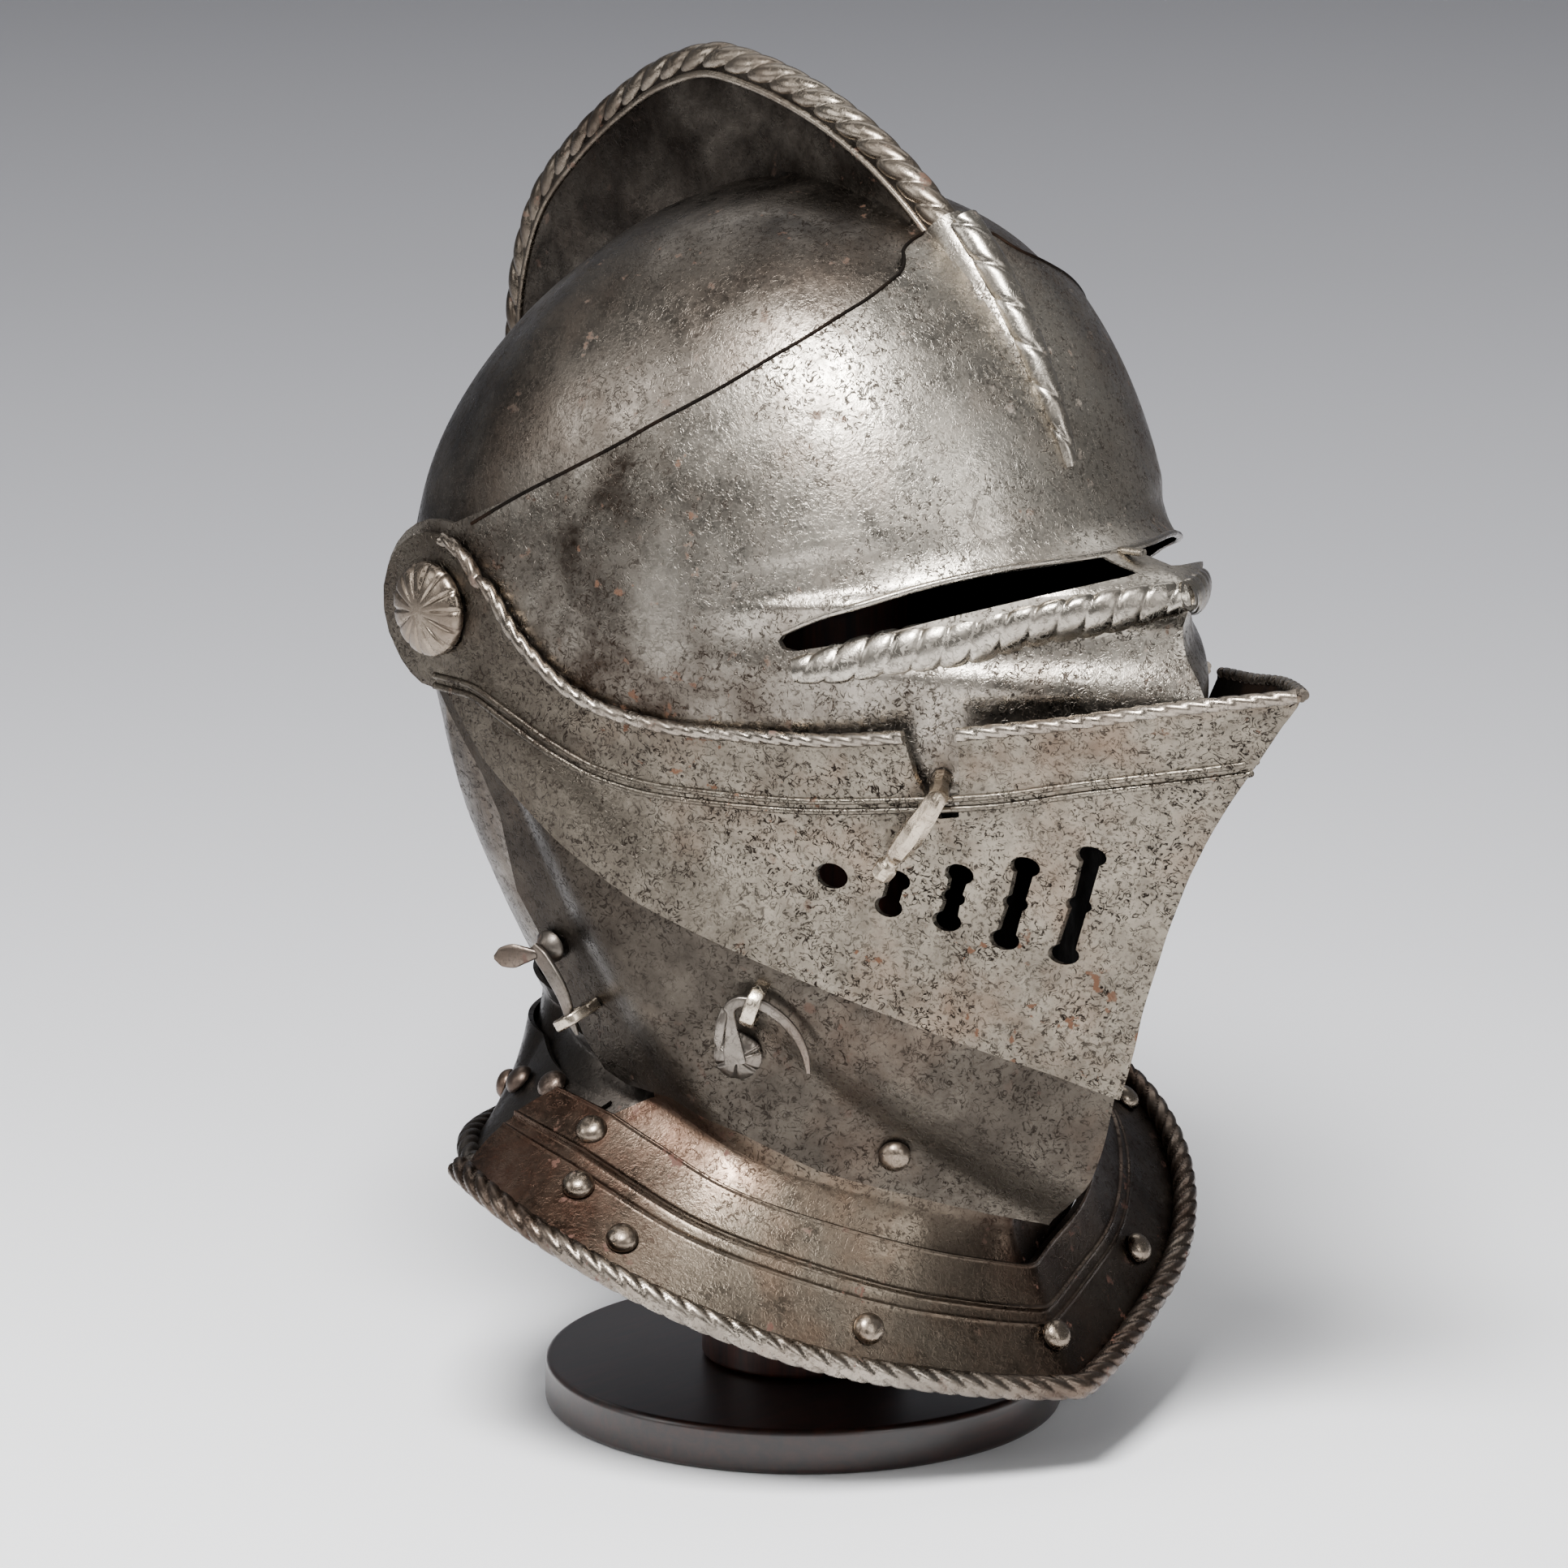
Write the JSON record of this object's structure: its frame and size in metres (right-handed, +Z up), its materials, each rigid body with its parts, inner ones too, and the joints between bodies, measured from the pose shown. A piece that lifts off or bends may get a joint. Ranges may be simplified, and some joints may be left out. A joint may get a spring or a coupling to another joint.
{
  "type": "close helmet on wooden stand",
  "caption": "Steel close helmet with a tall roped comb, lifting visor, pierced pointed bevor, chin plate and flared roped collar, on a plain turned wooden stand.",
  "frame": {"origin": "centre of the underside of the stand's disc", "axes": "+Z up, -Y towards the front of the helmet, -X towards the wearer's right"},
  "size_m": [0.231, 0.2857, 0.3671],
  "materials": {
    "steel": "aged, pitted",
    "steel_dark": "dark, rubbed",
    "wood": "dark stained, waxed"
  },
  "bodies": {
    "skull_on_stand": {"rear_collar_plate": "steel", "rear_neck_lame": "steel", "rear_rivet_left_104": "steel", "rear_rivet_left_118": "steel", "rear_rivet_left_140": "steel", "rear_rivet_right_104": "steel", "rear_rivet_right_118": "steel", "rear_rivet_right_140": "steel", "skull": "steel", "stand_disc": "wood", "stand_post": "wood"},
    "lower_bevor_and_collar": {"bevor_latch_staple": "steel_dark", "bevor_latch_stud": "steel_dark", "chin_rivet_left": "steel", "chin_rivet_right": "steel", "front_collar_plate": "steel", "front_neck_lame": "steel", "front_rivet_left_30": "steel", "front_rivet_left_64": "steel", "front_rivet_left_76": "steel", "front_rivet_left_84": "steel", "front_rivet_middle_0": "steel", "front_rivet_right_30": "steel", "front_rivet_right_64": "steel", "front_rivet_right_76": "steel", "front_rivet_right_84": "steel", "lower_bevor": "steel", "neck_latch_staple": "steel_dark", "neck_latch_stud": "steel_dark"},
    "upper_bevor": {"upper_bevor": "steel", "temple_boss_right": "steel", "temple_boss_left": "steel"},
    "visor": {"visor": "steel", "lifting_peg": "steel"},
    "bevor_latch_hook": {"bevor_latch_hook": "steel_dark"},
    "neck_latch_hook": {"neck_latch_hook": "steel_dark"}
  },
  "joints": [
    {"name": "lower_bevor_hinge", "type": "hinge", "parent": "skull_on_stand", "child": "lower_bevor_and_collar", "pos_m": [0, 0.04, 0.227], "axis": [-1, 0, 0], "range_deg": [0, 35]},
    {"name": "upper_bevor_hinge", "type": "hinge", "parent": "lower_bevor_and_collar", "child": "upper_bevor", "pos_m": [0, 0.04, 0.227], "axis": [-1, 0, 0], "range_deg": [0, 28]},
    {"name": "visor_hinge", "type": "hinge", "parent": "upper_bevor", "child": "visor", "pos_m": [0, 0.04, 0.227], "axis": [-1, 0, 0], "range_deg": [0, 45]},
    {"name": "bevor_latch_turn", "type": "hinge", "parent": "lower_bevor_and_collar", "child": "bevor_latch_hook", "pos_m": [-0.06406, -0.04, 0.116], "axis": [-0.7874, -0.6104, -0.0857], "range_deg": [0, 75]},
    {"name": "neck_latch_turn", "type": "hinge", "parent": "lower_bevor_and_collar", "child": "neck_latch_hook", "pos_m": [-0.08052, 0.012, 0.139], "axis": [-0.974, -0.0274, -0.2248], "range_deg": [0, 75]}
  ]
}
